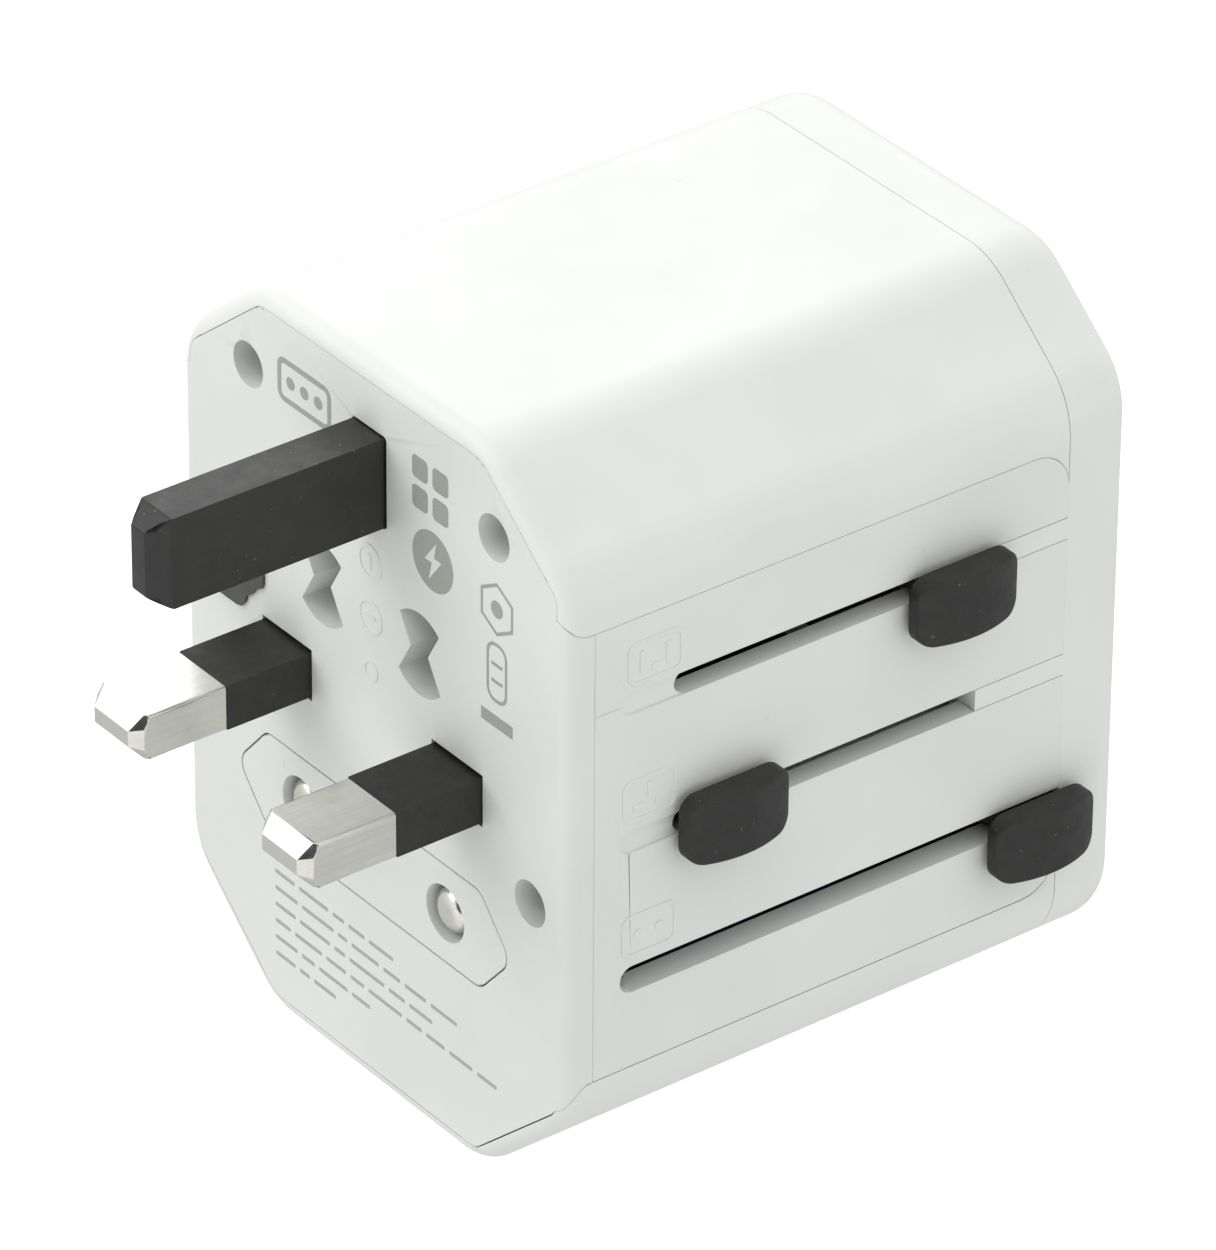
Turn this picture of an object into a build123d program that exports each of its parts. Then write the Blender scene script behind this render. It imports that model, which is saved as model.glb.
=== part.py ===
from build123d import *
import os
from math import sqrt, radians, sin, cos

os.makedirs("parts", exist_ok=True)

# ------------------------------------------------------------------
# Universal travel adapter with three slide-out plugs (UK, US/AUS, EU).
# Millimetres. +Z up, plug face toward -Y, slider side toward +X,
# socket face toward +Y. Origin: middle of the flat underside.
# ------------------------------------------------------------------

# case
HALF_W = 25.1            # half width of the octagonal case (X)
HALF_D = 27.35           # half depth (Y)
HEIGHT = 65.8            # height (Z)
TOP_LEG_X, TOP_LEG_Z = 10.4, 8.4     # legs of the two upper corner facets
LOW_LEG_X, LOW_LEG_Z = 11.2, 9.85    # legs of the two lower corner facets
CORNER_R = 7.0           # rounding between the long faces
FRONT_R = 1.5            # rounding round the plug face
BACK_R = 2.8             # rounding round the socket face
WALL = 2.0
SEAM_TOP, SEAM_LOW = 0.05, 0.10      # visible joints of the two shells
SEAM = 0.06              # joint ahead of the socket ring
PLATE_T = 2.2            # plug face thickness
FLANGE_T = 1.0           # step behind the plug face that backs the seam
PF = -HALF_D             # plug face plane
RING_Y = 20.75           # seam between the shells and the socket ring

# side panel (both flanks of the plug housing)
PANEL_Z0, PANEL_Z1 = 13.2, 53.5
PANEL_CORNER_R = 3.5
PANEL_Y0 = -24.85        # where the flank begins behind the front rounding
FRONT_Z0, FRONT_Z1 = 10.45, 54.9     # reach of the plug face part at its front edge
PLATE_CORNER_R = 2.0                 # its own corners

# plug geometry, heights above the underside
PIN_Z = 34.1             # live/neutral line of the UK plug
EARTH_Z = 56.3           # UK earth pin, 22.2 above the line
LN_X = 11.1              # UK live/neutral, 22.2 apart
LN_W, LN_H = 6.35, 4.0
LN_OUT = 16.6            # how far the metal pins stand out at rest
SLEEVE_OUT = 8.0
EARTH_W, EARTH_H = 4.0, 7.92
EARTH_OUT = 21.3
BLADE_X, BLADE_Z = 6.3, 43.5
BLADE_T, BLADE_W = 1.5, 6.35
EU_X, EU_Z = 9.5, 21.3
EU_PIN_R = 2.0
EU_BORE_R = 2.45

# slots for the three sliders
SLOT_HALF = 1.0
EU_SLOT_HALF = 1.2
US_SLOT_Z, UK_SLOT_Z, EU_SLOT_Z = 46.15, 33.75, 21.2
SLOT_Y0 = -17.25         # blind end of the US and UK slots
EU_SLOT_Y0 = -22.3       # blind end of the EU slot
TONGUE_Y = 12.0          # front end of the tongues that close the slots
CHANNEL_Y0 = -22.35      # end of the shallow grooves ahead of the slots
CHANNEL_DEPTH = 0.2

# slider positions (centre of the button along Y) in the drawn pose
US_C, UK_C, EU_C = 9.8, -12.15, 18.35
STEM_FRONT, STEM_BACK = 4.0, 2.1     # stem reach ahead of / behind the centre
STEM_HALF = 0.85

# button pads
PAD_X0 = 25.9
PAD_LEN, PAD_H = 9.8, 5.8
PAD_SHIFT = -0.45        # pad centre ahead of the stem centre
PAD_END_T, PAD_MID_T = 1.15, 2.45
PAD_CORNER_R = 1.5
US_PAD_DZ, EU_PAD_DZ = -1.15, -1.2   # pads set below their slots

# case screws (looking along +Y): two up, two down
SCREW_XZ = [(-15.8, 58.3), (15.8, 58.3), (-20.4, 28.05), (20.4, 28.05)]
SCREW_HOLE_R = 1.95
TUBE_R, POST_R = 3.05, 2.6
TUBE_END_Y = -15.35
SCREW_SEAT_Y = -16.85

# universal socket
FACE_BACK_Y = 23.3
FACE_FRONT_Y = 26.95
USB_X, USB_Z = 8.6, 11.0
BOARD_Z0, BOARD_T = 6.4, 1.6


def xz(sk, y0, y1):
    """Extrude a sketch drawn in (x, z) between two y values."""
    pl = Plane(origin=(0, y1, 0), x_dir=(1, 0, 0), z_dir=(0, -1, 0))
    return extrude(pl * sk, y1 - y0, dir=(0, -1, 0))


def yz(sk, x0, x1):
    """Extrude a sketch drawn in (y, z) between two x values."""
    pl = Plane(origin=(x0, 0, 0), x_dir=(0, 1, 0), z_dir=(1, 0, 0))
    return extrude(pl * sk, x1 - x0, dir=(1, 0, 0))


def bx(x0, x1, y0, y1, z0, z1):
    return Pos((x0 + x1) / 2, (y0 + y1) / 2, (z0 + z1) / 2) * Box(x1 - x0, y1 - y0, z1 - z0)


def rect(x0, x1, z0, z1):
    return Pos((x0 + x1) / 2, (z0 + z1) / 2) * Rectangle(x1 - x0, z1 - z0)


def rrect(x0, x1, z0, z1, r):
    return Pos((x0 + x1) / 2, (z0 + z1) / 2) * RectangleRounded(x1 - x0, z1 - z0, r)


def cyl_y(x, z, r, y0, y1):
    return xz(Pos(x, z) * Circle(r), y0, y1)


def cyl_z(x, y, r, z0, z1):
    return Pos(x, y, (z0 + z1) / 2) * Cylinder(r, z1 - z0)


def octagon(o, r=None):
    """Case outline moved inward by o, with corner radius r if given."""
    lt = sqrt(TOP_LEG_X ** 2 + TOP_LEG_Z ** 2)
    lb = sqrt(LOW_LEG_X ** 2 + LOW_LEG_Z ** 2)
    tx, tz = TOP_LEG_Z / lt, TOP_LEG_X / lt          # upper facet direction
    dx, dz = LOW_LEG_Z / lb, -LOW_LEG_X / lb         # lower facet direction
    top = tx * HALF_W + tz * (HEIGHT - TOP_LEG_Z) - o
    low = dx * HALF_W + dz * LOW_LEG_Z - o
    w, z1, z0 = HALF_W - o, HEIGHT - o, o
    right = [((low - dz * z0) / dx, z0), (w, (low - dx * w) / dz),
             (w, (top - tx * w) / tz), ((top - tz * z1) / tx, z1)]
    left = [(-x, z) for x, z in reversed(right)]
    sk = Polygon(*(right + left), align=None)
    return fillet(sk.vertices(), r or max(CORNER_R - o, 0.8))


def pill(y0, y1, z, half):
    """Slot outline in (y, z): round at y0, square at y1."""
    return Pos((y0 + half + y1) / 2, z) * Rectangle(y1 - y0 - half, 2 * half) + Pos(y0 + half, z) * Circle(half)


def one(s):
    """Largest solid of a result, as a plain solid."""
    ss = s.solids()
    ss.sort(key=lambda q: q.volume)
    return ss[-1]


def save(name, *solids):
    flat = []
    for s in solids:
        flat.extend(list(s.solids()))
    shp = flat[0] if len(flat) == 1 else Compound(children=flat)
    shp.label = name
    export_step(shp, f"parts/{name}.step")


# ------------------------------------------------------------------
# Case: one outer form, cut into housing, two shells and a ring
# ------------------------------------------------------------------
outer = xz(octagon(0), -HALF_D, HALF_D)
outer = fillet(outer.edges().filter_by_position(Axis.Y, -HALF_D - 0.01, -HALF_D + 0.01), FRONT_R)
outer = fillet(outer.edges().filter_by_position(Axis.Y, HALF_D - 0.01, HALF_D + 0.01), BACK_R)

cavity = xz(octagon(WALL), PF + PLATE_T, RING_Y + 0.01)


def panel_region(grow):
    """Flank region of the plug housing: wider at the plug face, with a
    soft bend to the flank, rounded at its rear corners."""
    y2 = RING_Y + (0.01 if grow else -0.0)
    a, b = PANEL_Z0 - grow, PANEL_Z1 + grow
    low = Line((PF - 1, FRONT_Z0 - grow), (PF, FRONT_Z0 - grow)) + Spline(
        (PF, FRONT_Z0 - grow), (PANEL_Y0, a), tangents=((0.6, 0.8), (1.0, 0.0)))
    top = Line((PF - 1, FRONT_Z1 + grow), (PF, FRONT_Z1 + grow)) + Spline(
        (PF, FRONT_Z1 + grow), (PANEL_Y0, b), tangents=((0.4, -0.9), (1.0, 0.0)))
    rear = Polyline((PANEL_Y0, a), (y2, a), (y2, b), (PANEL_Y0, b))
    edge = Line((PF - 1, FRONT_Z0 - grow), (PF - 1, FRONT_Z1 + grow))
    sk = make_face(low.edges() + rear.edges() + top.edges() + edge.edges())
    corner = sk.vertices().filter_by(lambda v: v.X > 0)
    sk = fillet(corner, PANEL_CORNER_R)
    r = yz(sk, HALF_W - 2.6 - grow, HALF_W + 1)
    return r + r.mirror(Plane.YZ)


front_half = outer & bx(-30, 30, -30, RING_Y, -1, HEIGHT + 1)
plate_region = xz(octagon(FRONT_R, PLATE_CORNER_R), PF - 0.01, PF + PLATE_T)
housing = front_half & (plate_region + panel_region(0))
housing = housing - cavity
housing = housing + xz(octagon(WALL + 0.06), PF + PLATE_T, PF + PLATE_T + FLANGE_T)

# lips inside the flanks that sit behind the shell edges
for sx in (-1, 1):
    for z0, z1 in ((50.5, 54.5), (12.5, 16.2)):
        x0, x1 = sorted((sx * 22.0, sx * 23.0))
        housing = housing + bx(x0, x1, PF + PLATE_T, 16.5, z0, z1)
        xw0, xw1 = sorted((sx * 22.9, sx * 23.2))
        zz0, zz1 = (50.5, 53.2) if z0 > 30 else (13.5, 16.2)
        housing = housing + bx(xw0, xw1, PF + PLATE_T, 16.5, zz0, zz1)

# guide tunnel for the EU island and screw tubes
def island_outline(o):
    pts = [(-14.0 + o * .4, 25.7 - o), (14.0 - o * .4, 25.7 - o), (17.9 - o * 1.3, EU_Z),
           (14.0 - o * .4, 16.9 + o), (-14.0 + o * .4, 16.9 + o), (-17.9 + o * 1.3, EU_Z)]
    sk = Polygon(*pts, align=None)
    return fillet(sk.vertices(), max(1.6 - o, 0.3))


GUIDE_END = -14.0
guide = xz(island_outline(-1.25), PF + PLATE_T, GUIDE_END)
housing = housing + guide
for x, z in SCREW_XZ:
    housing = housing + cyl_y(x, z, TUBE_R, PF + PLATE_T, TUBE_END_Y)

housing = housing - xz(island_outline(-0.15), PF - 1, GUIDE_END + 1)
# path of the EU stem through the guide wall
housing = housing - bx(10, 23.05, EU_SLOT_Y0 - 0.2, GUIDE_END + 1, EU_SLOT_Z - 1.15, EU_SLOT_Z + 1.15)
for x, z in SCREW_XZ:
    housing = housing - cyl_y(x, z, SCREW_HOLE_R, PF - 1, SCREW_SEAT_Y)
    housing = housing - cyl_y(x, z, 1.45, SCREW_SEAT_Y - 0.1, TUBE_END_Y + 1)

# UK pin holes
for sx in (-1, 1):
    housing = housing - bx(sx * LN_X - 3.27, sx * LN_X + 3.27, PF - 1, PF + 6, PIN_Z - 2.33, PIN_Z + 2.33)
earth_hole = xz(rrect(-2.19, 2.19, EARTH_Z - 4.08, EARTH_Z + 4.08, 0.35), PF - 1, PF + 6)
housing = housing - earth_hole

# bow-tie holes for the twisting blades: a slot swept through +-30 degrees
bow_clip = Pos(0, -0.25) * Circle(3.67)
bow_slot = Rectangle(1.9, 8.0)
bow_lobe = Polygon((0, 0), (2.4, 4.157), (-2.4, 4.157), align=None) + Polygon((0, 0), (-2.4, -4.157), (2.4, -4.157), align=None)
bow = ((Rot(0, 0, 30) * bow_slot) + (Rot(0, 0, -30) * bow_slot) + bow_lobe) & bow_clip
# short guide sleeves behind the two holes
for sx in (-1, 1):
    housing = housing + cyl_y(sx * BLADE_X, BLADE_Z, 4.5, PF + PLATE_T, PF + 5.0)
for sx in (-1, 1):
    housing = housing - xz(Pos(sx * BLADE_X, BLADE_Z) * bow, PF - 1, PF + 6)

# slider slots and the shallow grooves ahead of them (+X flank only)
# rib that stiffens the wall round the longest slot
housing = housing + bx(22.65, 23.2, EU_SLOT_Y0 + 1.9, 17.8, EU_SLOT_Z - 2.6, EU_SLOT_Z + 2.6)
for z, y0, half in ((US_SLOT_Z, SLOT_Y0, SLOT_HALF), (UK_SLOT_Z, SLOT_Y0, SLOT_HALF), (EU_SLOT_Z, EU_SLOT_Y0, EU_SLOT_HALF)):
    housing = housing - yz(pill(y0, RING_Y + 1, z, half), 21.5, 27)
for z in (US_SLOT_Z, UK_SLOT_Z):
    housing = housing - yz(pill(CHANNEL_Y0, SLOT_Y0 + 2, z, SLOT_HALF), HALF_W - CHANNEL_DEPTH, 27)
# hairline steps on the flanks, where the front band meets the panel
for sx in (-1, 1):
    lo, hi = sorted((sx * (HALF_W - 0.08), sx * 26))
    housing = housing - bx(lo, hi, PANEL_Y0 - 0.04, PANEL_Y0 + 0.04, PANEL_Z0, PANEL_Z1)
housing = housing - bx(HALF_W - 0.08, 26, PANEL_Y0, CHANNEL_Y0 + 0.2, US_SLOT_Z - 0.05, US_SLOT_Z + 0.05)
housing = one(housing)
save("plug_housing", housing)


def shell_form(seam):
    s = (outer & bx(-30, 30, -30, RING_Y - SEAM, -1, HEIGHT + 1)) - xz(octagon(WALL), PF + 0.6, RING_Y)
    s = s - xz(octagon(FRONT_R - seam, PLATE_CORNER_R + seam), PF - 1, PF + PLATE_T + 0.05)
    return s - panel_region(seam)


top_shell = one(shell_form(SEAM_TOP) & bx(-30, 30, -30, 30, 45, HEIGHT + 1))
bottom_shell = one(shell_form(SEAM_LOW) & bx(-30, 30, -30, 30, -1, 20))

# bosses that carry the charger board
BOSS_XY = [(-12.6, -15.0), (12.6, -15.0), (0.0, 15.2)]
for x, y in BOSS_XY:
    bottom_shell = bottom_shell + cyl_z(x, y, 2.4, WALL - 0.3, BOARD_Z0)
    bottom_shell = bottom_shell - cyl_z(x, y, 0.8, 3.0, BOARD_Z0 + 1)
save("top_shell", top_shell)
save("bottom_shell", one(bottom_shell))

# socket ring: bezel, spigot, slot tongues, screw posts
ring = outer & bx(-30, 30, RING_Y, 30, -1, HEIGHT + 1)
ring = ring - xz(octagon(WALL), RING_Y - 1, 25.35)
spigot = xz(octagon(WALL + 0.08) - octagon(WALL + 1.1), 18.0, RING_Y + 1.0)
spigot = spigot & bx(-30, 30, 17, 22, -1, HEIGHT + 1)
link = xz(octagon(WALL - 0.5) - octagon(WALL + 1.1), RING_Y, RING_Y + 1.0)
ring = ring + spigot + link
opening = octagon(4.6)
for x, z in SCREW_XZ:
    opening = opening - Pos(x, z) * Circle(4.2)
ring = ring - xz(opening, 25.0, 28)
for x, z in SCREW_XZ:
    ring = ring + cyl_y(x, z, POST_R, TUBE_END_Y + 0.1, 25.6)
for z in (US_SLOT_Z, UK_SLOT_Z):
    ring = ring + bx(23.0, HALF_W, TONGUE_Y, RING_Y + 0.5, z - SLOT_HALF + 0.07, z + SLOT_HALF - 0.07)
    ring = ring + bx(21.9, 23.04, TONGUE_Y, 19.0, z - 2.6, z + 2.6)
# the EU stem comes up to the ring: clear its path through the spigot
ring = ring - bx(20.5, 23.08, 17.0, RING_Y, EU_SLOT_Z - 1.3, EU_SLOT_Z + 1.3)
# flank lips of the housing end short of the spigot; screw pilot holes
for x, z in SCREW_XZ:
    ring = ring - cyl_y(x, z, 1.1, TUBE_END_Y - 1, -3.0)
ring = one(ring)
save("socket_ring", ring)

# ------------------------------------------------------------------
# Socket face: insert with the universal openings
# ------------------------------------------------------------------
front_sk = octagon(4.75)
flange_sk = octagon(3.3)
for x, z in SCREW_XZ:
    front_sk = front_sk - Pos(x, z) * Circle(4.35)
    flange_sk = flange_sk - Pos(x, z) * Circle(POST_R + 0.15)
face = xz(flange_sk, FACE_BACK_Y, 25.3) + xz(front_sk, 25.3, FACE_FRONT_Y)
pole = (rect(7.6, 14.6, -2.25, 2.25)                      # UK
        + Pos(9.5, 0) * Circle(2.6)                         # EU
        + rect(5.3, 7.4, -4.1, 4.1)                         # US
        + Pos(7.0, 0) * (Rot(0, 0, 30) * Rectangle(2.0, 7.4)))  # AUS
pole = Pos(0, PIN_Z) * pole
face = face - xz(pole, 22, 28) - xz(pole.mirror(Plane.YZ), 22, 28)
earth_sk = (Pos(0, EARTH_Z) * RectangleRounded(4.5, 8.4, 0.4) + Pos(0, 45.0) * Circle(2.6)
            + rect(-1.05, 1.05, 41.5, 49.0))
face = face - xz(earth_sk, 22, 28)
# shallow dish round the openings
dish = Pos(0, 42.0) * RectangleRounded(33.0, 36.0, 8.0)
face = face - xz(dish, FACE_FRONT_Y - 0.5, 28)
for sx in (-1, 1):
    face = face - xz(rrect(sx * USB_X - 6.6, sx * USB_X + 6.6, USB_Z - 2.95, USB_Z + 2.95, 0.5), 22, 28)
face = face - cyl_y(0, USB_Z, 1.05, 22, 28)
face = face - bx(-1.4, 1.4, FACE_BACK_Y - 0.1, 23.8, 16.2, 29.4)
# seat of the shutter spring
face = face + bx(-2.6, 2.6, 21.3, FACE_BACK_Y, 14.9, 16.2)
save("socket_face", one(face))

# shutter behind the live/neutral openings, slides down against a spring
shutter = bx(-13.7, 13.7, 21.8, 23.1, 29.3, 38.9)
shutter = shutter - bx(-3.0, 3.0, 21.0, 24, 31.5, 36.7)
for sx in (-1, 1):
    lo, hi = sorted((sx * 8.0, sx * 13.2))
    ramp = Pos(0, 0) * Polygon((22.4, 30.6), (23.2, 30.6), (23.2, 37.6), (23.1, 37.6), align=None)
    shutter = shutter - yz(ramp, lo, hi)
shutter = shutter + bx(-0.45, 0.45, 22.0, 22.9, 27.6, 29.4)
save("shutter", one(shutter))

spring_path = Helix(pitch=1.45, height=12.5, radius=0.9, center=(0, 22.45, 16.45))
spring_prof = Plane(origin=spring_path @ 0, z_dir=spring_path % 0) * Circle(0.18)
save("shutter_spring", sweep(spring_prof, path=spring_path, is_frenet=True))

# contact block behind the shutter
block = bx(-16.7, 16.7, 12.4, 21.5, 27.6, 41.0) + bx(-4.6, 4.6, 12.4, 21.5, 40.5, 62.0)
block = block + bx(14.2, 16.7, 21.0, FACE_BACK_Y, 27.6, 41.0) + bx(-16.7, -14.2, 21.0, FACE_BACK_Y, 27.6, 41.0)
block = block + bx(-4.6, 4.6, 21.0, FACE_BACK_Y, 41.5, 62.0)
for sx in (-1, 1):
    lo, hi = sorted((sx * 4.4, sx * 15.4))
    block = block - bx(lo, hi, 11, 21.6, 29.3, 38.9)
block = block - xz(rect(-2.3, 2.3, EARTH_Z - 4.25, EARTH_Z + 4.25), 13.4, 24)
block = block - xz(Pos(0, 45.0) * Circle(2.7) + rect(-1.15, 1.15, 41.9, 49.1), 13.4, 24)
block = block - bx(-1.4, 1.4, 21.0, 21.6, 27.5, 29.4)
for sx in (-1, 1):
    lo, hi = sorted((sx * 15.2, sx * 17.0))
    block = block - bx(lo, hi, 12.0, 13.0, 36.3, 38.6)
save("contact_block", one(block))


def pole_contact(sx):
    """Folded spring strip: outer web, two leaves, a pinch on each leaf."""
    pts = [(5.0, 38.4), (14.9, 38.4), (14.9, 29.8), (5.0, 29.8), (5.0, 30.3), (7.2, 30.3),
           (8.6, 31.9), (10.4, 31.9), (11.8, 30.3), (14.4, 30.3), (14.4, 37.9), (11.8, 37.9),
           (10.4, 36.3), (8.6, 36.3), (7.2, 37.9), (5.0, 37.9)]
    c = xz(Polygon(*pts, align=None), 12.9, 21.1)
    c = c - bx(4, 13.6, 16.6, 17.4, 29, 39)
    # tail that reaches the supply strip through the side of the block
    c = c + bx(14.4, 21.0, 12.9 - 0.6, 12.9, 36.4, 39.0 - 0.5) + bx(14.4, 14.9, 12.3, 13.4, 36.4, 38.4)
    return c if sx > 0 else c.mirror(Plane.YZ)


save("pole_contacts", pole_contact(1), pole_contact(-1))


def supply_strip(sx):
    """Flat strip along the flank that the sliders' wipers run on."""
    c = bx(21.0, 21.7, -19.5, 13.5, 36.2, 40.4) + bx(19.4, 21.0, 12.9, 13.5, 36.4, 40.4)
    return c if sx > 0 else c.mirror(Plane.YZ)


save("supply_strips", supply_strip(1), supply_strip(-1))

# ------------------------------------------------------------------
# Case screws
# ------------------------------------------------------------------
def case_screw(x, z):
    s = cyl_y(x, z, 1.8, SCREW_SEAT_Y - 1.5, SCREW_SEAT_Y)
    s = fillet(s.edges().filter_by_position(Axis.Y, SCREW_SEAT_Y - 1.51, SCREW_SEAT_Y - 1.49), 0.45)
    s = s + cyl_y(x, z, 1.05, SCREW_SEAT_Y - 0.1, -3.6)
    s = s - xz(Pos(x, z) * (Rectangle(0.5, 2.3) + Rectangle(2.3, 0.5)), SCREW_SEAT_Y - 2, SCREW_SEAT_Y - 0.7)
    return s


save("case_screws", *[case_screw(x, z) for x, z in SCREW_XZ])


# ------------------------------------------------------------------
# Buttons: crowned pad, stem through the slot
# ------------------------------------------------------------------
def button(c, slot_z, dz=0.0):
    z = slot_z + dz
    sag = PAD_MID_T - PAD_END_T
    half = PAD_LEN / 2
    rad = (half * half + sag * sag) / (2 * sag)
    m = c + PAD_SHIFT
    blank = yz(Pos(m, z) * RectangleRounded(PAD_LEN, PAD_H, PAD_CORNER_R), PAD_X0, PAD_X0 + PAD_MID_T + 1)
    crown = Pos(PAD_X0 + PAD_MID_T - rad, m, z) * Cylinder(rad, 20)
    pad = blank & crown
    pad = fillet(pad.edges().filter_by(lambda e: e.center().X > PAD_X0 + 0.9), 0.35)
    stem = bx(16.2, PAD_X0 + 0.3, c - STEM_FRONT, c + STEM_BACK, slot_z - STEM_HALF, slot_z + STEM_HALF)
    nose = stem.edges().filter_by(Axis.X).filter_by_position(Axis.Y, c - STEM_FRONT - 0.01, c - STEM_FRONT + 0.01)
    stem = fillet(nose, 0.8)
    b = pad + stem
    # socket on the inner end that grips the carrier
    return b


save("us_button", one(button(US_C, US_SLOT_Z, US_PAD_DZ)))
save("uk_button", one(button(UK_C, UK_SLOT_Z)))
save("eu_button", one(button(EU_C, EU_SLOT_Z, EU_PAD_DZ)))

# ------------------------------------------------------------------
# UK plug
# ------------------------------------------------------------------
UK_F, UK_B = UK_C - 6.0, UK_C - 1.6          # carrier front and back faces
uk_car = bx(-14.5, 15.0, UK_F, UK_B, 31.0, 37.2)
uk_car = uk_car + bx(-19.2, -14.4, UK_F, UK_B, 33.2, 54.6)
uk_car = uk_car + bx(-19.2, 3.4, UK_F, UK_B, 50.4, 54.6)
uk_car = uk_car + bx(-3.4, 3.4, UK_F, UK_B, 50.4, 61.6)
# ears that take the button stem
uk_car = uk_car + bx(14.9, 19.0, UK_F, UK_C + 2.1, 35.0, 37.2)
uk_car = uk_car + bx(14.9, 16.15, UK_F, UK_C + 2.1, 32.4, 37.2)
for sx in (-1, 1):
    uk_car = uk_car - bx(sx * LN_X - 2.55, sx * LN_X + 2.55, UK_F - 1, UK_B + 1, PIN_Z - 1.4, PIN_Z + 1.4)
uk_car = uk_car - bx(-2.03, 2.03, UK_F - 1, UK_B - 1.0, EARTH_Z - 3.99, EARTH_Z + 3.99)
uk_car = uk_car - bx(-1.2, 1.2, UK_B - 1.2, UK_B + 1, EARTH_Z - 2.2, EARTH_Z + 2.2)
save("uk_carrier", one(uk_car))


def tipped_pin(x, z, w, h, y_tip, y_shoulder, y_root, tip_w, tip_h):
    """Rectangular pin with a four-sided tapered nose."""
    body = bx(x - w / 2, x + w / 2, y_shoulder, y_root, z - h / 2, z + h / 2)
    pl0 = Plane(origin=(0, y_shoulder, 0), x_dir=(1, 0, 0), z_dir=(0, -1, 0))
    pl1 = Plane(origin=(0, y_tip, 0), x_dir=(1, 0, 0), z_dir=(0, -1, 0))
    nose = loft([(pl0 * (Pos(x, z) * Rectangle(w, h))).face(), (pl1 * (Pos(x, z) * Rectangle(tip_w, tip_h))).face()])
    return body + nose


def nose_cut(x, z, y_tip, a, b, c):
    """Everything beyond the plane through three nose points; each point is
    (offset from the pin centre in x, depth behind the tip, offset in z)."""
    pa, pb, pc = (Vector(x + p[0], y_tip + p[1], z + p[2]) for p in (a, b, c))
    n = (pb - pa).cross(pc - pa).normalized()
    if n.dot(Vector(x, y_tip + 3.0, z) - pa) > 0:
        n = -n
    return Plane(origin=pa, z_dir=n) * Pos(0, 0, 6) * Box(24, 24, 12)


def flat_pin(x, z, y_tip, y_root):
    """Live or neutral pin: soft long edges, eight-sided nose."""
    p = bx(x - LN_W / 2, x + LN_W / 2, y_tip, y_root, z - LN_H / 2, z + LN_H / 2)
    p = fillet(p.edges().filter_by(Axis.Y), 0.3)
    for s in (-1, 1):
        p = p - nose_cut(x, z, y_tip, (0, 0, s * 0.7), (1, 0, s * 0.7), (0, 1.2, s * 2.0))
        p = p - nose_cut(x, z, y_tip, (s * 2.26, 0, 0), (s * 2.26, 0, 1), (s * 3.175, 0.9, 0))
        for t in (-1, 1):
            p = p - nose_cut(x, z, y_tip, (s * 2.26, 0, t * 0.7), (s * 2.685, 1.2, t * 2.0), (s * 3.175, 1.6, t * 2.0))
    return p


uk_pins = []
uk_sleeves = []
for sx in (-1, 1):
    p = flat_pin(sx * LN_X, PIN_Z, PF - LN_OUT, PF - SLEEVE_OUT)
    p = p + bx(sx * LN_X - 2.5, sx * LN_X + 2.5, PF - SLEEVE_OUT - 0.1, UK_B + 1.2, PIN_Z - 1.35, PIN_Z + 1.35)
    lo, hi = sorted((sx * LN_X, sx * 20.9))
    # tail and wiper behind the carrier, running on the supply strip
    p = p + bx(lo, hi, UK_B + 0.1, UK_B + 0.6, PIN_Z + 0.3 if sx < 0 else 37.4, 38.1)
    if sx > 0:
        p = p + bx(sx * LN_X - 2.5, sx * LN_X + 2.5, UK_B + 0.1, UK_B + 0.6, PIN_Z, 38.0)
    uk_pins.append(one(p))
    s = bx(sx * LN_X - LN_W / 2, sx * LN_X + LN_W / 2, PF - SLEEVE_OUT + 0.02, UK_F - 0.02, PIN_Z - 2, PIN_Z + 2)
    s = s - bx(sx * LN_X - 2.52, sx * LN_X + 2.52, PF - SLEEVE_OUT - 1, UK_F + 1, PIN_Z - 1.37, PIN_Z + 1.37)
    uk_sleeves.append(one(s))
save("uk_pins", *uk_pins)
save("uk_sleeves", *uk_sleeves)

earth = tipped_pin(0, EARTH_Z, EARTH_W, EARTH_H, PF - EARTH_OUT, PF - EARTH_OUT + 1.7, UK_B - 1.05, 1.8, 5.65)
earth = earth + bx(-1.15, 1.15, UK_B - 1.1, UK_B + 0.6, EARTH_Z - 2.15, EARTH_Z + 2.15)
save("uk_earth_pin", one(earth))

# ------------------------------------------------------------------
# US / AUS plug: two blades that twist in a carrier
# ------------------------------------------------------------------
US_F, US_B = US_C - 6.0, US_C - 1.6
us_car = bx(-11.6, 15.0, US_F, US_F + 3.0, 38.4, 49.2)
us_car = us_car + bx(14.9, 19.0, US_F, US_C + 2.1, 47.3, 49.2)
us_car = us_car + bx(14.9, 16.15, US_F, US_C + 2.1, 44.8, 49.2)
for sx in (-1, 1):
    us_car = us_car - cyl_y(sx * BLADE_X, BLADE_Z, 3.65, US_F - 1, US_F + 4)
    us_car = us_car - cyl_y(sx * BLADE_X, BLADE_Z, 4.28, US_F + 0.85, US_F + 4)
save("us_carrier", one(us_car))
us_ret = bx(-11.6, 11.6, US_F + 3.02, US_B, 38.9, 48.7)
for sx in (-1, 1):
    us_ret = us_ret - cyl_y(sx * BLADE_X, BLADE_Z, 2.98, US_F, US_B + 1)
us_ret = us_ret - cyl_y(0, BLADE_Z, 1.1, US_F, US_B + 1)
save("us_retainer", one(us_ret))


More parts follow.
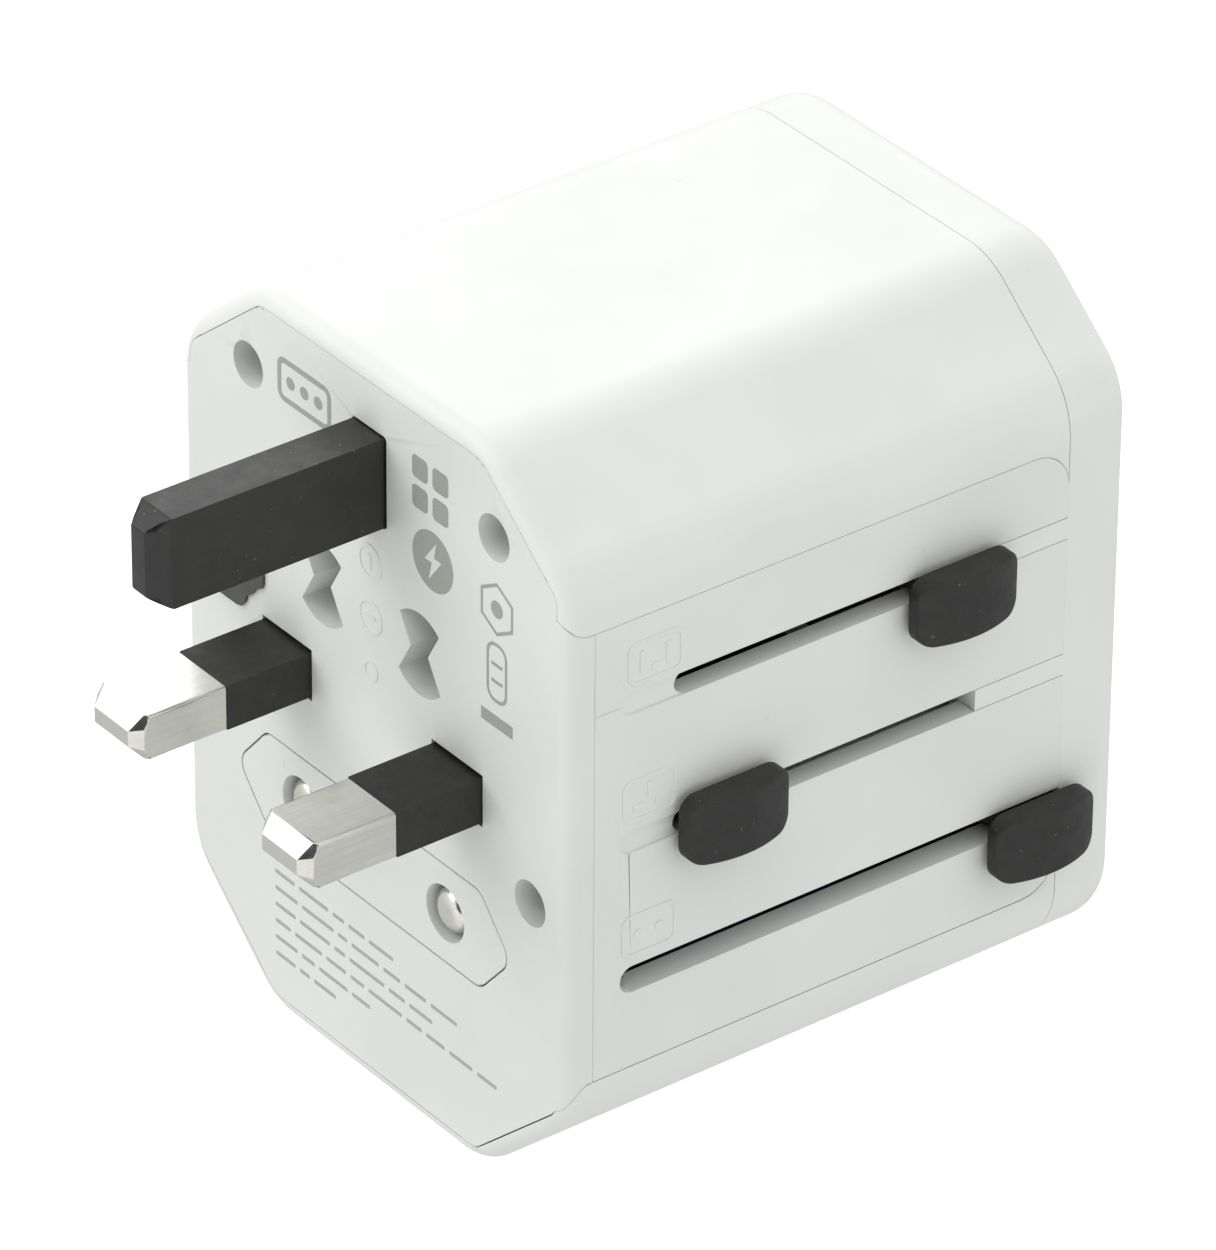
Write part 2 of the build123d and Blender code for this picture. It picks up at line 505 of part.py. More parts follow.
def rotor(sx):
    x = sx * BLADE_X
    r = cyl_y(x, BLADE_Z, 3.57, US_F + 0.1, US_F + 1.2) + cyl_y(x, BLADE_Z, 4.2, US_F + 0.93, US_F + 2.9)
    r = r + cyl_y(x, BLADE_Z, 2.9, US_F + 2.5, US_B)
    return r - bx(x - 0.78, x + 0.78, US_F - 1, US_F + 2.6, BLADE_Z - 3.2, BLADE_Z + 3.2)


BLADE_TIP = PF + 5.45


def blade(sx):
    x = sx * BLADE_X
    b = bx(x - BLADE_T / 2, x + BLADE_T / 2, BLADE_TIP + 1.2, US_F + 2.55, BLADE_Z - BLADE_W / 2, BLADE_Z + BLADE_W / 2)
    pl0 = Plane(origin=(0, BLADE_TIP + 1.2, 0), x_dir=(1, 0, 0), z_dir=(0, -1, 0))
    pl1 = Plane(origin=(0, BLADE_TIP, 0), x_dir=(1, 0, 0), z_dir=(0, -1, 0))
    nose = loft([(pl0 * (Pos(x, BLADE_Z) * Rectangle(BLADE_T, BLADE_W))).face(),
                 (pl1 * (Pos(x, BLADE_Z) * Rectangle(0.8, 4.8))).face()])
    return b + nose


for sx, nm in ((-1, "left"), (1, "right")):
    save(f"us_rotor_{nm}", one(rotor(sx)))
    save(f"us_blade_{nm}", one(blade(sx)))

# ------------------------------------------------------------------
# EU plug: island that follows the pins out
# ------------------------------------------------------------------
EU_CAR_F, EU_CAR_B = EU_C - STEM_FRONT, EU_C - 0.4
ISLAND_BACK = EU_CAR_F - 19.65
island = xz(island_outline(0), PF, ISLAND_BACK)
for sx in (-1, 1):
    island = island - cyl_y(sx * EU_X, EU_Z, EU_BORE_R, PF - 1, ISLAND_BACK + 1)
save("eu_island", one(island))

eu_car = bx(-13.2, 15.0, EU_CAR_F, EU_CAR_B, 18.3, 24.3)
eu_car = eu_car + bx(14.9, 16.15, EU_CAR_F, EU_CAR_B + 2.3, 19.6, 23.0)
for sx in (-1, 1):
    eu_car = eu_car - cyl_y(sx * EU_X, EU_Z, EU_PIN_R + 0.05, EU_CAR_F - 1, EU_CAR_B - 0.8)
save("eu_carrier", one(eu_car))

EU_TIP = PF + 0.1
eu_pins = []
eu_sleeves = []
for sx in (-1, 1):
    p = cyl_y(sx * EU_X, EU_Z, EU_PIN_R, EU_TIP, EU_CAR_B - 0.85)
    p = fillet(p.edges().filter_by_position(Axis.Y, EU_TIP - 0.01, EU_TIP + 0.01), 1.2)
    neck = xz(Pos(sx * EU_X, EU_Z) * Circle(3) - Pos(sx * EU_X, EU_Z) * Circle(1.55), EU_TIP + 9.0, EU_TIP + 21.0)
    p = p - neck
    eu_pins.append(one(p))
    s = cyl_y(sx * EU_X, EU_Z, EU_PIN_R, EU_TIP + 9.02, EU_TIP + 20.98) - cyl_y(sx * EU_X, EU_Z, 1.57, EU_TIP, EU_TIP + 30)
    eu_sleeves.append(one(s))
save("eu_pins", *eu_pins)
save("eu_sleeves", *eu_sleeves)

# ------------------------------------------------------------------
# Charger board with two USB ports
# ------------------------------------------------------------------
board = bx(-16.4, 16.4, -21.0, 22.6, BOARD_Z0 + 0.02, BOARD_Z0 + BOARD_T)
for x, y in BOSS_XY:
    board = board - cyl_z(x, y, 1.15, 0, 10)
save("charger_board", one(board))

BT = BOARD_Z0 + BOARD_T
usb_shells, usb_tongues, usb_pins = [], [], []
for sx in (-1, 1):
    x = sx * USB_X
    sh = xz(RectangleRounded(13.1, 5.75, 0.6) - RectangleRounded(12.5, 5.15, 0.4), 12.6, 26.2)
    sh = Pos(x, 0, USB_Z) * sh
    sh = sh + bx(x - 6.3, x + 6.3, 12.3, 12.62, USB_Z - 2.7, USB_Z + 2.7)
    usb_shells.append(one(sh))
    usb_tongues.append(bx(x - 5.6, x + 5.6, 12.9, 25.4, USB_Z + 0.35, USB_Z + 2.2) + bx(x - 6.1, x + 6.1, 12.65, 14.2, USB_Z - 2.4, USB_Z + 2.4))
    for k in range(4):
        px = x + (-3.5, -1.0, 1.0, 3.5)[k]
        usb_pins.append(bx(px - 0.5, px + 0.5, 15.0, 24.6, USB_Z + 0.17, USB_Z + 0.33))
save("usb_shells", *usb_shells)
save("usb_tongues", *[one(t) for t in usb_tongues])
save("usb_contacts", *usb_pins)

core = bx(-6.6, 6.6, -9.0, 2.6, BT + 0.05, BT + 6.6) - bx(-4.4, -2.0, -10, 4, BT + 1.4, BT + 5.3) - bx(2.0, 4.4, -10, 4, BT + 1.4, BT + 5.3)
save("transformer_core", one(core))
wind = bx(-4.2, 4.2, -11.2, 4.8, BT + 1.6, BT + 5.1) - bx(-2.2, 2.2, -9.2, 2.8, BT, BT + 7)
save("transformer_winding", one(wind))
caps = []
for x, y0, y1, r in ((-13.6, -8.0, 3.0, 2.9), (13.4, -10.0, 0.0, 2.6), (13.4, 2.0, 9.4, 2.4)):
    c = cyl_y(x, BT + 0.1 + r, r, y0, y1)
    c = fillet(c.edges().filter_by(GeomType.CIRCLE), 0.35)
    caps.append(c)
save("capacitors", *caps)
save("chips", bx(-4.2, 0.6, 6.6, 10.6, BT + 0.02, BT + 1.3), bx(3.0, 7.0, 6.6, 9.6, BT + 0.02, BT + 1.1))
save("board_screws", *[(cyl_z(x, y, 1.8, BT + 0.02, BT + 1.3) + cyl_z(x, y, 0.75, 3.4, BT + 0.5))
                       - bx(x - 1.3, x + 1.3, y - 0.25, y + 0.25, BT + 0.7, BT + 2) for x, y in BOSS_XY])
save("indicator_lens", cyl_y(0, USB_Z, 1.0, 22.9, FACE_FRONT_Y - 0.05) + cyl_y(0, USB_Z, 1.4, 22.2, FACE_BACK_Y - 0.02))

# small adhesive patch on the plug face with a ragged lower corner
patch_pts = [(-20.3, 35.9), (-17.5, 35.9), (-16.9, 36.05), (-16.4, 36.65), (-16.2, 37.25), (-15.5, 37.8),
             (-14.95, 38.5), (-14.2, 38.95), (-13.95, 39.4), (-13.95, 42.0), (-20.3, 42.0)]
save("face_patch", xz(Polygon(*patch_pts, align=None), PF - 0.25, PF - 0.005))
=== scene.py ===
import bpy
import bmesh
import math
from mathutils import Matrix, Vector


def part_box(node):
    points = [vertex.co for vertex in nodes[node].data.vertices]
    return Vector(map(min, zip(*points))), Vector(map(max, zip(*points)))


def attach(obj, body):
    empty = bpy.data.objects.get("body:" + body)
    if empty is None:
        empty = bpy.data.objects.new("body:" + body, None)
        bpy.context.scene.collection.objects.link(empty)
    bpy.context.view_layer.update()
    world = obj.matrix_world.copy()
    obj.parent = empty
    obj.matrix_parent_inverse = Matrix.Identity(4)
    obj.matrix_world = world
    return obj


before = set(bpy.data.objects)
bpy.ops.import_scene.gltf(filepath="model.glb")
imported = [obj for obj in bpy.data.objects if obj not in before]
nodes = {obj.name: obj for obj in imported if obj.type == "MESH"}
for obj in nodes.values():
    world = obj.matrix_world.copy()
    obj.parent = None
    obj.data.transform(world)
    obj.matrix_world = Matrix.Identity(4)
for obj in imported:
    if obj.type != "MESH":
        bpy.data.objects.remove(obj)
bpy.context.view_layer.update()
MM = 0.001

# where things are, read from the fixed frame
H_LO, H_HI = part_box("plug_housing")
PF = H_LO[1]                       # plug face plane
FLANK = H_HI[0]                    # slider flank plane

# ------------------------------------------------------------------
# camera
# ------------------------------------------------------------------
cam_data = bpy.data.cameras.new("camera")
cam = bpy.data.objects.new("camera", cam_data)
bpy.context.scene.collection.objects.link(cam)
right = Vector((0.6034755041615549, 0.7973577111304918, 0.006164120188677792))
up = Vector((-0.426689995190108, 0.316387989152879, 0.8472510184853504))
back = Vector((0.6736118792610644, -0.5139254039454958, 0.5311569591917592))
rot = Matrix((right, up, back)).transposed()
cam.matrix_world = Matrix.Translation((0.5257374252931847, -0.4056401457378709, 0.448734606896074)) @ rot.to_4x4()
cam_data.lens = 288.144
cam_data.sensor_width = 36.0
cam_data.sensor_fit = "AUTO"
cam_data.clip_start, cam_data.clip_end = 0.02, 50.0
bpy.context.scene.camera = cam
bpy.context.scene.view_settings.view_transform = "Standard"
bpy.context.scene.view_settings.look = "None"


# ------------------------------------------------------------------
# material helpers
# ------------------------------------------------------------------
class Mat:
    """A Principled material with object-space coordinates."""

    def __init__(self, name):
        self.m = bpy.data.materials.new(name)
        self.m.use_nodes = True
        self.nt = self.m.node_tree
        self.nt.nodes.clear()
        self.out = self.nt.nodes.new("ShaderNodeOutputMaterial")
        self.b = self.nt.nodes.new("ShaderNodeBsdfPrincipled")
        self.nt.links.new(self.b.outputs["BSDF"], self.out.inputs["Surface"])
        self.co = self.nt.nodes.new("ShaderNodeTexCoord").outputs["Object"]
        self.last_bump = None

    def set(self, **kw):
        for k, v in kw.items():
            self.b.inputs[k.replace("_", " ")].default_value = v
        return self

    def scaled(self, sx, sy, sz, rz=0.0):
        n = self.nt.nodes.new("ShaderNodeMapping")
        n.inputs["Scale"].default_value = (sx, sy, sz)
        n.inputs["Rotation"].default_value = (0, 0, rz)
        self.nt.links.new(self.co, n.inputs["Vector"])
        return n.outputs["Vector"]

    def noise(self, scale, detail=3.0, rough=0.55, vec=None, distortion=0.0):
        n = self.nt.nodes.new("ShaderNodeTexNoise")
        n.inputs["Scale"].default_value = scale
        n.inputs["Detail"].default_value = detail
        n.inputs["Roughness"].default_value = rough
        n.inputs["Distortion"].default_value = distortion
        self.nt.links.new(vec or self.co, n.inputs["Vector"])
        return n.outputs["Fac"]

    def cells(self, scale, vec=None, feature="F1"):
        n = self.nt.nodes.new("ShaderNodeTexVoronoi")
        n.feature = feature
        n.inputs["Scale"].default_value = scale
        self.nt.links.new(vec or self.co, n.inputs["Vector"])
        return n.outputs["Distance"]

    def ramp(self, fac, stops):
        n = self.nt.nodes.new("ShaderNodeValToRGB")
        e = n.color_ramp.elements
        while len(e) < len(stops):
            e.new(0.5)
        for el, (p, c) in zip(e, stops):
            el.position = p
            el.color = (c, c, c, 1) if not hasattr(c, "__len__") else (*c, 1)
        self.nt.links.new(fac, n.inputs["Fac"])
        return n.outputs["Color"]

    def mix(self, fac, a, b):
        n = self.nt.nodes.new("ShaderNodeMix")
        n.data_type = "RGBA"
        for sock, v in ((n.inputs[0], fac), (n.inputs[6], a), (n.inputs[7], b)):
            if hasattr(v, "default_value"):
                self.nt.links.new(v, sock)
            elif hasattr(v, "__len__"):
                sock.default_value = (*v, 1)
            else:
                sock.default_value = v
        return n.outputs[2]

    def maths(self, op, a, b):
        n = self.nt.nodes.new("ShaderNodeMath")
        n.operation = op
        for sock, v in ((n.inputs[0], a), (n.inputs[1], b)):
            if hasattr(v, "default_value"):
                self.nt.links.new(v, sock)
            else:
                sock.default_value = v
        return n.outputs[0]

    def color(self, sock):
        self.nt.links.new(sock, self.b.inputs["Base Color"])
        return self

    def rough(self, sock):
        self.nt.links.new(sock, self.b.inputs["Roughness"])
        return self

    def bump(self, height, strength, distance):
        n = self.nt.nodes.new("ShaderNodeBump")
        n.inputs["Strength"].default_value = strength
        n.inputs["Distance"].default_value = distance
        self.nt.links.new(height, n.inputs["Height"])
        if self.last_bump is not None:
            self.nt.links.new(self.last_bump, n.inputs["Normal"])
        self.last_bump = n.outputs["Normal"]
        self.nt.links.new(self.last_bump, self.b.inputs["Normal"])
        return self


def lin(v):
    """sRGB 0..255 to linear."""
    c = v / 255.0
    return c / 12.92 if c <= 0.04045 else ((c + 0.055) / 1.055) ** 2.4


def rgb(r, g, b):
    return (lin(r), lin(g), lin(b))


def white_plastic(name, base=(231, 233, 231), rough=(0.36, 0.46), texture=0.10, speck=0.35):
    """Satin moulded plastic: faint tone drift, fine spark-eroded texture, a few dust specks."""
    m = Mat(name)
    c = rgb(*base)
    c2 = tuple(v * 0.965 for v in c)
    tone = m.ramp(m.noise(70, 2.0), [(0.38, c), (0.66, c2)])
    dust = m.ramp(m.noise(900, 1.0, 0.4), [(0.80, 0.0), (0.84, speck)])
    m.color(m.mix(dust, tone, tuple(v * 0.80 for v in c)))
    m.rough(m.ramp(m.noise(260, 3.0), [(0.3, rough[0]), (0.7, rough[1])]))
    m.bump(m.noise(5200, 3.0, 0.6), texture, 0.00003)
    m.bump(m.noise(160, 1.0), 0.03, 0.00025)
    m.set(IOR=1.46)
    return m


def black_plastic(name, base=(44, 44, 43), rough=(0.48, 0.62), texture=0.5, grain=3800, specks=0.5):
    """Matte black plastic with a fine pebbled texture and pale dust."""
    m = Mat(name)
    c = rgb(*base)
    lighter = tuple(v * 1.55 for v in c)
    tone = m.ramp(m.noise(500, 4.0, 0.65), [(0.35, c), (0.75, lighter)])
    dust = m.ramp(m.noise(2600, 1.0, 0.3), [(0.76, 0.0), (0.80, specks)])
    m.color(m.mix(dust, tone, rgb(128, 127, 124)))
    m.rough(m.ramp(m.noise(700, 3.0), [(0.3, rough[0]), (0.7, rough[1])]))
    m.bump(m.noise(grain, 4.0, 0.6), texture, 0.00004)
    m.set(IOR=1.5)
    return m


def metal(name, base, rough=(0.24, 0.36), grain=(2600, 70, 2600), strength=0.12, pits=0.0):
    """Plated metal with drawn grain and a few scratches."""
    m = Mat(name)
    c = rgb(*base)
    dark = tuple(v * 0.86 for v in c)
    brushed = m.noise(1.0, 3.0, 0.6, vec=m.scaled(*grain))
    cloud = m.noise(420, 3.0, 0.6)
    m.color(m.mix(m.ramp(cloud, [(0.35, 0.0), (0.7, 0.6)]), m.ramp(brushed, [(0.3, c), (0.75, dark)]), dark))
    m.rough(m.ramp(m.noise(900, 4.0, 0.7), [(0.3, rough[0]), (0.75, rough[1])]))
    m.bump(brushed, strength, 0.00002)
    scratch = m.noise(1.0, 1.0, 0.4, vec=m.scaled(5200, 420, 5200, 0.5))
    m.bump(m.ramp(scratch, [(0.70, 0.0), (0.76, 1.0)]), 0.22, 0.00001)
    if pits:
        m.bump(m.noise(3600, 2.0, 0.5), pits, 0.00002)
    m.set(Metallic=1.0)
    return m


# ------------------------------------------------------------------
# materials
# ------------------------------------------------------------------
shell_white = white_plastic("shell_white").m
face_white = white_plastic("face_white", base=(229, 231, 228), rough=(0.40, 0.50), texture=0.16).m
inner_white = white_plastic("inner_white", base=(222, 223, 219), rough=(0.46, 0.58), texture=0.2).m
slider_black = black_plastic("slider_black", base=(29, 29, 28), rough=(0.52, 0.64), texture=0.5, specks=0.3).m
sleeve_black = black_plastic("sleeve_black", base=(28, 28, 27), rough=(0.48, 0.62), texture=0.3, grain=4600, specks=0.15).m
earth_black = black_plastic("earth_black", base=(29, 29, 28), rough=(0.34, 0.46), texture=0.26, grain=3000, specks=0.3).m
carrier_black = black_plastic("carrier_black", base=(34, 34, 34), rough=(0.5, 0.6), texture=0.4).m
patch_grey = black_plastic("patch_grey", base=(70, 70, 69), rough=(0.55, 0.7), texture=0.5, specks=0.2).m
nickel = metal("nickel", (224, 224, 217), rough=(0.17, 0.27)).m
brass = metal("brass", (206, 178, 112), rough=(0.26, 0.4)).m
steel = metal("steel", (176, 177, 176), rough=(0.24, 0.40), grain=(900, 900, 900)).m
spring_steel = metal("spring_steel", (190, 190, 188), rough=(0.2, 0.3), grain=(1500, 1500, 90)).m
usb_steel = metal("usb_steel", (198, 199, 198), rough=(0.2, 0.32)).m
gold = metal("gold", (232, 190, 104), rough=(0.18, 0.3)).m


def board_mat():
    m = Mat("board_green")
    lines = m.ramp(m.noise(1.0, 2.0, 0.5, vec=m.scaled(380, 1500, 380)), [(0.44, rgb(18, 78, 46)), (0.56, rgb(30, 104, 60))])
    m.color(lines)
    m.rough(m.ramp(m.noise(500, 2.0), [(0.3, 0.28), (0.7, 0.4)]))
    m.bump(m.noise(1500, 2.0), 0.2, 0.00003)
    m.set(Coat_Weight=0.4, Coat_Roughness=0.2)
    return m.m


def ferrite_mat():
    m = Mat("ferrite")
    m.color(m.ramp(m.noise(2600, 5.0, 0.7), [(0.35, rgb(40, 40, 42)), (0.7, rgb(84, 84, 86))]))
    m.rough(m.ramp(m.noise(900, 3.0), [(0.3, 0.45), (0.7, 0.7)]))
    m.bump(m.noise(3200, 4.0, 0.7), 0.5, 0.00006)
    return m.m


def tape_mat():
    m = Mat("winding_tape")
    wraps = m.noise(1.0, 2.0, 0.5, vec=m.scaled(200, 200, 3800))
    m.color(m.ramp(wraps, [(0.4, rgb(226, 190, 60)), (0.62, rgb(198, 160, 40))]))
    m.rough(m.ramp(m.noise(700, 2.0), [(0.3, 0.25), (0.7, 0.4)]))
    m.bump(wraps, 0.4, 0.00005)
    return m.m


def cap_mat():
    m = Mat("cap_sleeve")
    m.color(m.ramp(m.noise(420, 3.0), [(0.35, rgb(28, 40, 84)), (0.7, rgb(38, 52, 104))]))
    m.rough(m.ramp(m.noise(800, 3.0), [(0.3, 0.28), (0.7, 0.42)]))
    m.bump(m.noise(1.0, 2.0, 0.5, vec=m.scaled(2400, 160, 2400)), 0.25, 0.00003)
    return m.m


def chip_mat():
    m = Mat("chip_black")
    m.color(m.ramp(m.noise(5200, 4.0, 0.7), [(0.35, rgb(30, 30, 31)), (0.75, rgb(60, 60, 61))]))
    m.rough(m.ramp(m.noise(1800, 3.0), [(0.3, 0.5), (0.7, 0.68)]))
    m.bump(m.noise(6200, 3.0, 0.7), 0.6, 0.00003)
    return m.m


def lens_mat():
    m = Mat("lens_blue")
    m.color(m.ramp(m.noise(900, 2.0), [(0.35, rgb(150, 190, 226)), (0.7, rgb(176, 208, 236))]))
    m.rough(m.ramp(m.noise(900, 2.0), [(0.3, 0.08), (0.7, 0.16)]))
    m.bump(m.noise(1400, 2.0), 0.1, 0.00002)
    m.set(Transmission_Weight=0.6, IOR=1.49)
    return m.m


def tongue_mat():
    return black_plastic("tongue_black", base=(30, 30, 31), rough=(0.42, 0.56), texture=0.3, specks=0.1).m


def ink_mat(name, base):
    """Pad-printed ink: slightly uneven in tone, roughness and surface."""
    m = Mat(name)
    c = rgb(*base)
    m.color(m.ramp(m.noise(4200, 4.0, 0.7), [(0.35, c), (0.8, tuple(min(1, v * 1.22) for v in c))]))
    m.rough(m.ramp(m.noise(1500, 3.0), [(0.3, 0.42), (0.7, 0.6)]))
    m.bump(m.noise(5200, 3.0), 0.25, 0.00002)
    return m.m


board_green, ferrite, winding_tape, cap_sleeve = board_mat(), ferrite_mat(), tape_mat(), cap_mat()
chip_black, lens_blue, tongue_black = chip_mat(), lens_mat(), tongue_mat()
ink_grey = ink_mat("ink_grey", (158, 160, 154))
ink_fine = ink_mat("ink_fine", (168, 170, 164))

finish_of = {
    "plug_housing": face_white, "top_shell": shell_white, "bottom_shell": shell_white, "socket_ring": shell_white,
    "socket_face": face_white, "eu_island": face_white, "contact_block": inner_white, "shutter": inner_white,
    "pole_contacts": brass, "supply_strips": brass, "case_screws": steel, "charger_board": board_green,
    "usb_shells": usb_steel, "usb_tongues": tongue_black, "usb_contacts": gold, "transformer_core": ferrite,
    "transformer_winding": winding_tape, "capacitors": cap_sleeve, "chips": chip_black, "board_screws": steel,
    "indicator_lens": lens_blue, "face_patch": patch_grey, "shutter_spring": spring_steel,
    "us_button": slider_black, "uk_button": slider_black, "eu_button": slider_black,
    "us_carrier": carrier_black, "us_retainer": carrier_black, "uk_carrier": carrier_black, "eu_carrier": carrier_black,
    "us_rotor_left": inner_white, "us_rotor_right": inner_white, "us_blade_left": nickel, "us_blade_right": nickel,
    "uk_pins": nickel, "uk_sleeves": sleeve_black, "uk_earth_pin": earth_black,
    "eu_pins": nickel, "eu_sleeves": sleeve_black,
}

# soft edges on the moulded pieces: width in mm for the pieces that show
edge_mm = {"plug_housing": 0.025, "top_shell": 0.025, "bottom_shell": 0.025, "socket_ring": 0.025,
           "eu_island": 0.06, "uk_earth_pin": 0.16, "uk_sleeves": 0.10, "uk_pins": 0.06, "us_blade_left": 0.08,
           "us_blade_right": 0.08, "us_button": 0.08, "uk_button": 0.08, "eu_button": 0.08}

for name, ob in nodes.items():
    me = ob.data
    me.materials.clear()
    me.materials.append(finish_of[name])
    for p in me.polygons:
        p.use_smooth = True
        p.material_index = 0
    if name in edge_mm:
        old = me.attributes.get("custom_normal")
        if old is not None:
            me.attributes.remove(old)
        w = ob.modifiers.new("weld", "WELD")
        w.merge_threshold = 0.000002
        bv = ob.modifiers.new("edge", "BEVEL")
        bv.width = edge_mm[name] * MM
        bv.segments = 2
        bv.limit_method = "ANGLE"
        bv.angle_limit = math.radians(25)
        bv.use_clamp_overlap = False
        bv.harden_normals = False
        bv.miter_outer = "MITER_ARC"
        wn = ob.modifiers.new("flat_normals", "WEIGHTED_NORMAL")
        wn.mode = "FACE_AREA"
        wn.weight = 80
        wn.keep_sharp = False


# ------------------------------------------------------------------
# thin pieces cut from closed outlines
# ------------------------------------------------------------------
def circle(cx, cy, r, n=48, a0=0.0, a1=2 * math.pi):
    full = abs(a1 - a0 - 2 * math.pi) < 1e-6
    k = n if full else n + 1
    return [(cx + r * math.cos(a0 + (a1 - a0) * i / n), cy + r * math.sin(a0 + (a1 - a0) * i / n)) for i in range(k)]


def box_loop(x0, x1, z0, z1, r=0.0, n=6):
    if r <= 0:
        return [(x0, z0), (x1, z0), (x1, z1), (x0, z1)]
    pts = []
    for cx, cz, a in ((x1 - r, z0 + r, -90), (x1 - r, z1 - r, 0), (x0 + r, z1 - r, 90), (x0 + r, z0 + r, 180)):
        for i in range(n + 1):
            t = math.radians(a + 90 * i / n)
            pts.append((cx + r * math.cos(t), cz + r * math.sin(t)))
    return pts


def ring_loops(cx, cz, r, t):
    return [circle(cx, cz, r), circle(cx, cz, r - t)]


def frame_loops(x0, x1, z0, z1, r, t):
    return [box_loop(x0, x1, z0, z1, r), box_loop(x0 + t, x1 - t, z0 + t, z1 - t, max(r - t, 0.02))]


def cut_sheet(name, loops_mm, thick_mm, place, material, body, bevel_mm=0.0):
    """Extrudes closed outlines (holes included) and lays the result on a face of the case."""
    cu = bpy.data.curves.new(name + "_outline", "CURVE")
    cu.dimensions = "2D"
    cu.fill_mode = "BOTH"
    cu.extrude = thick_mm / 2
    cu.bevel_depth = bevel_mm
    cu.bevel_resolution = 1
    if bevel_mm:
        cu.offset = -bevel_mm
    for loop in loops_mm:
        sp = cu.splines.new("POLY")
        sp.points.add(len(loop) - 1)
        for p, (u, v) in zip(sp.points, loop):
            p.co = (u, v, 0, 1)
        sp.use_cyclic_u = True
    tmp = bpy.data.objects.new(name + "_outline", cu)
    bpy.context.scene.collection.objects.link(tmp)
    dg = bpy.context.evaluated_depsgraph_get()
    dg.update()
    me = bpy.data.meshes.new_from_object(tmp.evaluated_get(dg), preserve_all_data_layers=False, depsgraph=dg)
    bpy.data.objects.remove(tmp)
    me.name = name
    bm = bmesh.new()
    bm.from_mesh(me)
    for v in bm.verts:
        v.co = place(v.co.x, v.co.y, v.co.z)
    bmesh.ops.remove_doubles(bm, verts=bm.verts, dist=1e-7)
    bmesh.ops.recalc_face_normals(bm, faces=bm.faces)
    bm.to_mesh(me)
    bm.free()
    me.materials.clear()
    me.materials.append(material)
    for p in me.polygons:
        p.use_smooth = False
        p.material_index = 0
    ob = bpy.data.objects.new(name, me)
    bpy.context.scene.collection.objects.link(ob)
    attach(ob, body)
    return ob


def on_plug_face(proud):
    """(u, v, w) in mm -> metres on the plug face: u right, v up, w out of the face."""
    return lambda u, v, w: Vector((u * MM, PF - (w + proud) * MM, v * MM))


def on_flank(proud):
    return lambda u, v, w: Vector((FLANK + (w + proud) * MM, u * MM, v * MM))


# ------------------------------------------------------------------
# printed marks on the plug face: plain shapes in grey ink
# ------------------------------------------------------------------
INK = 0.016
print_on = on_plug_face(0.004)


def printed(name, loops, material=ink_grey):
    return cut_sheet(name, loops, INK, print_on, material, "case")


# rounded frame with three dots (upper left)
mark_a = frame_loops(-11.9, -4.9, 57.3, 61.2, 0.9, 0.5) + [circle(x, 59.25, 0.55, 20) for x in (-10.2, -8.4, -6.6)]
printed("mark_frame_and_dots", mark_a)
# four rounded squares
mark_b = []
for i in range(2):
    for j in range(2):
        x0, z0 = 5.5 + 2.6 * i, 56.2 + 2.6 * j
        mark_b += [box_loop(x0, x0 + 2.0, z0, z0 + 2.0, 0.45)]
printed("mark_four_squares", mark_b)
# disc with a bolt-shaped window
bolt = [(8.55, 54.2), (7.05, 52.25), (7.95, 52.25), (7.55, 50.6), (9.2, 52.75), (8.25, 52.75)]
printed("mark_disc", [circle(8.1, 52.4, 2.6), bolt])
# six-sided outline with a dot
hexa = lambda cx, cz, r: [(cx + r * math.sin(math.radians(60 * k)), cz + r * math.cos(math.radians(60 * k))) for k in range(6)]
printed("mark_hexagon", [hexa(16.2, 52.2, 2.35), hexa(16.2, 52.2, 2.02)] + [circle(16.2, 52.2, 0.75, 24)])
# upright capsule with two rungs
cap = frame_loops(14.9, 17.5, 43.9, 49.2, 1.1, 0.3)
printed("mark_capsule", cap + [box_loop(15.5, 16.9, 47.1, 47.4), box_loop(15.5, 16.9, 45.6, 45.9)])
printed("mark_bar", [box_loop(14.2, 18.2, 41.65, 42.75)])

# rows of plain dashes in the rating area
rows = [(13.05, [2.6, 3.9, 1.5, 2.1, 3.2]),
        (11.5, [3.0, 4.2, 1.2, 3.6, 2.2, 2.8, 3.4]),
        (9.95, [2.7, 4.0, 1.4, 4.6, 2.1, 3.0]),
        (8.4, [2.0, 3.6, 2.6, 1.8, 4.4, 2.0, 2.4, 3.0, 2.5]),
        (6.85, [2.9, 1.7, 3.8, 2.4]),
        (5.3, [2.6, 1.3, 2.9])]
for k, (z, words) in enumerate(rows):
    loops, x = [], -13.1
    for wlen in words:
        loops.append(box_loop(x, x + wlen, z + 0.08, z + 0.44, 0.12, 3))
        x += wlen + 0.62
    printed(f"mark_dashes_{k + 1}", loops, ink_fine)

# ------------------------------------------------------------------
# raised marks in the plastic
# ------------------------------------------------------------------
EMB = 0.10
emb_face = on_plug_face(0.005)
emb_flank = on_flank(0.005)


def raised(name, loops, place, t=EMB):
    return cut_sheet(name, loops, t, place, face_white, "case", bevel_mm=0.03)


# three small round signs between the twisting blades
raised("sign_top", ring_loops(0.0, 48.4, 1.55, 0.3) + [box_loop(-0.15, 0.15, 47.7, 49.1)], emb_face)
raised("sign_middle", ring_loops(0.0, 43.5, 1.55, 0.3) + [box_loop(-0.7, 0.7, 43.35, 43.65)], emb_face)
raised("sign_bottom", ring_loops(0.0, 38.6, 0.95, 0.28), emb_face)


